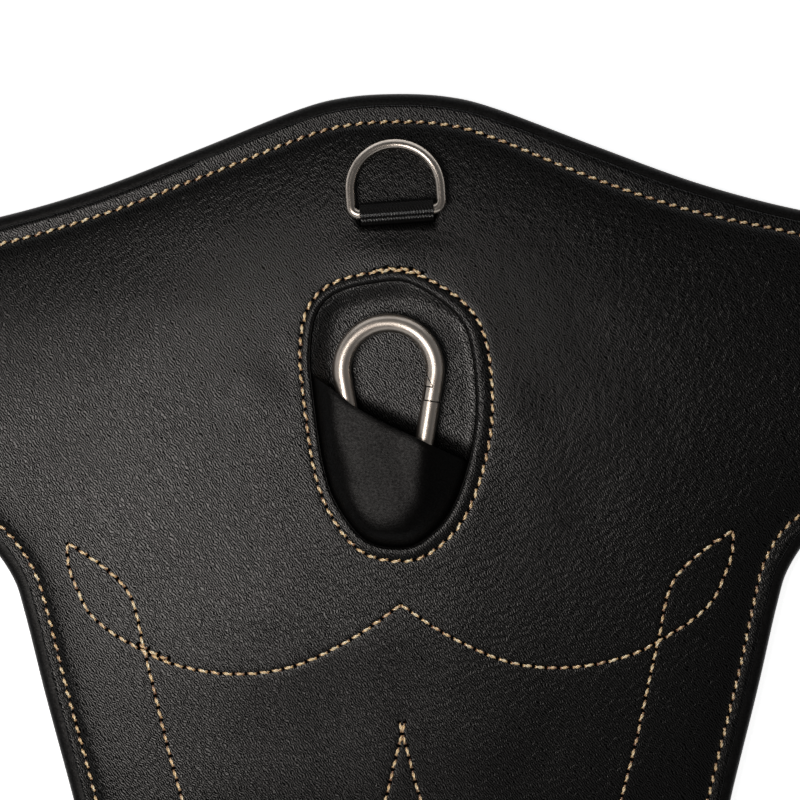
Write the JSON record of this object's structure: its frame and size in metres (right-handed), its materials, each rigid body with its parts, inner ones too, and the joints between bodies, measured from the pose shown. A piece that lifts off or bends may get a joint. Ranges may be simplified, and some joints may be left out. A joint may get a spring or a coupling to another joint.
{
  "type": "belly guard girth",
  "caption": "Short padded leather girth with a belly flap, a stowed snap hook in an egg-shaped window, a dee and roller buckles on elastic straps.",
  "frame": {"origin": "centre of the bounding box on the plane of the lining's back", "axes": "+X along the girth from buckle to buckle, +Y towards the front edge (the horse's forelegs), +Z out of the grained outer leather"},
  "size_m": [0.598, 0.314, 0.0165],
  "materials": {
    "grained_leather": "pebbled, satin",
    "smooth_leather": "smooth, satin",
    "foam": "matt foam",
    "webbing": "twill weave",
    "elastic": "ribbed elastic",
    "steel": "satin stainless",
    "spring_steel": "drawn wire"
  },
  "bodies": {
    "girth": {"lining_shell": "smooth_leather", "load_web": "webbing", "padding_core": "foam", "outer_panel": "grained_leather", "window_floor": "grained_leather", "hook_pocket": "smooth_leather", "hook_strap": "webbing", "dee_tab": "webbing", "end_cap_left": "smooth_leather", "end_cap_right": "smooth_leather", "elastic_left_front": "elastic", "elastic_left_rear": "elastic", "elastic_right_front": "elastic", "elastic_right_rear": "elastic", "chape_left_front": "smooth_leather", "chape_left_rear": "smooth_leather", "chape_right_front": "smooth_leather", "chape_right_rear": "smooth_leather"},
    "dee": {"dee_ring": "steel"},
    "snap_hook": {"snap_body": "steel", "gate_pin": "steel"},
    "gate": {"snap_gate": "steel", "gate_plunger": "steel", "gate_spring": "spring_steel"},
    "frame_left_front": {"buckle_frame_left_front": "steel"},
    "tongue_left_front": {"buckle_tongue_left_front": "steel"},
    "roller_left_front": {"buckle_roller_left_front": "steel"},
    "frame_left_rear": {"buckle_frame_left_rear": "steel"},
    "tongue_left_rear": {"buckle_tongue_left_rear": "steel"},
    "roller_left_rear": {"buckle_roller_left_rear": "steel"},
    "frame_right_front": {"buckle_frame_right_front": "steel"},
    "tongue_right_front": {"buckle_tongue_right_front": "steel"},
    "roller_right_front": {"buckle_roller_right_front": "steel"},
    "frame_right_rear": {"buckle_frame_right_rear": "steel"},
    "tongue_right_rear": {"buckle_tongue_right_rear": "steel"},
    "roller_right_rear": {"buckle_roller_right_rear": "steel"}
  },
  "joints": [
    {"name": "dee_flip", "type": "hinge", "parent": "girth", "child": "dee", "pos_m": [0, 0.1202, 0.0134], "axis": [0.998, 0.0628, 0], "range_deg": [0, 170]},
    {"name": "hook_pull", "type": "hinge", "parent": "girth", "child": "snap_hook", "pos_m": [-0.0031, 0.02955, 0.0893], "axis": [1, 0, 0], "range_deg": [0, 30], "deforming": ["hook_strap", "hook_pocket"]},
    {"name": "gate_open", "type": "hinge", "parent": "snap_hook", "child": "gate", "pos_m": [0.0065, 0.0402, 0.0093], "axis": [0, 0, 1], "range_deg": [0, 28], "stiffness_Nm_per_rad": 0.15, "springref_deg": -14.32},
    {"name": "buckle_fold_left_front", "type": "hinge", "parent": "girth", "child": "frame_left_front", "pos_m": [-0.272, 0.093, 0.0043], "axis": [0, 1, 0], "range_deg": [0, 120]},
    {"name": "tongue_lift_left_front", "type": "hinge", "parent": "frame_left_front", "child": "tongue_left_front", "pos_m": [-0.272, 0.093, 0.0043], "axis": [0, 1, 0], "range_deg": [0, 120]},
    {"name": "roller_spin_left_front", "type": "hinge", "parent": "frame_left_front", "child": "roller_left_front", "pos_m": [-0.296, 0.093, 0.0043], "axis": [0, 1, 0], "continuous": true},
    {"name": "buckle_fold_left_rear", "type": "hinge", "parent": "girth", "child": "frame_left_rear", "pos_m": [-0.272, 0.055, 0.0043], "axis": [0, 1, 0], "range_deg": [0, 120]},
    {"name": "tongue_lift_left_rear", "type": "hinge", "parent": "frame_left_rear", "child": "tongue_left_rear", "pos_m": [-0.272, 0.055, 0.0043], "axis": [0, 1, 0], "range_deg": [0, 120]},
    {"name": "roller_spin_left_rear", "type": "hinge", "parent": "frame_left_rear", "child": "roller_left_rear", "pos_m": [-0.296, 0.055, 0.0043], "axis": [0, 1, 0], "continuous": true},
    {"name": "buckle_fold_right_front", "type": "hinge", "parent": "girth", "child": "frame_right_front", "pos_m": [0.272, 0.093, 0.0043], "axis": [0, -1, 0], "range_deg": [0, 120]},
    {"name": "tongue_lift_right_front", "type": "hinge", "parent": "frame_right_front", "child": "tongue_right_front", "pos_m": [0.272, 0.093, 0.0043], "axis": [0, -1, 0], "range_deg": [0, 120]},
    {"name": "roller_spin_right_front", "type": "hinge", "parent": "frame_right_front", "child": "roller_right_front", "pos_m": [0.296, 0.093, 0.0043], "axis": [0, 1, 0], "continuous": true},
    {"name": "buckle_fold_right_rear", "type": "hinge", "parent": "girth", "child": "frame_right_rear", "pos_m": [0.272, 0.055, 0.0043], "axis": [0, -1, 0], "range_deg": [0, 120]},
    {"name": "tongue_lift_right_rear", "type": "hinge", "parent": "frame_right_rear", "child": "tongue_right_rear", "pos_m": [0.272, 0.055, 0.0043], "axis": [0, -1, 0], "range_deg": [0, 120]},
    {"name": "roller_spin_right_rear", "type": "hinge", "parent": "frame_right_rear", "child": "roller_right_rear", "pos_m": [0.296, 0.055, 0.0043], "axis": [0, 1, 0], "continuous": true}
  ]
}
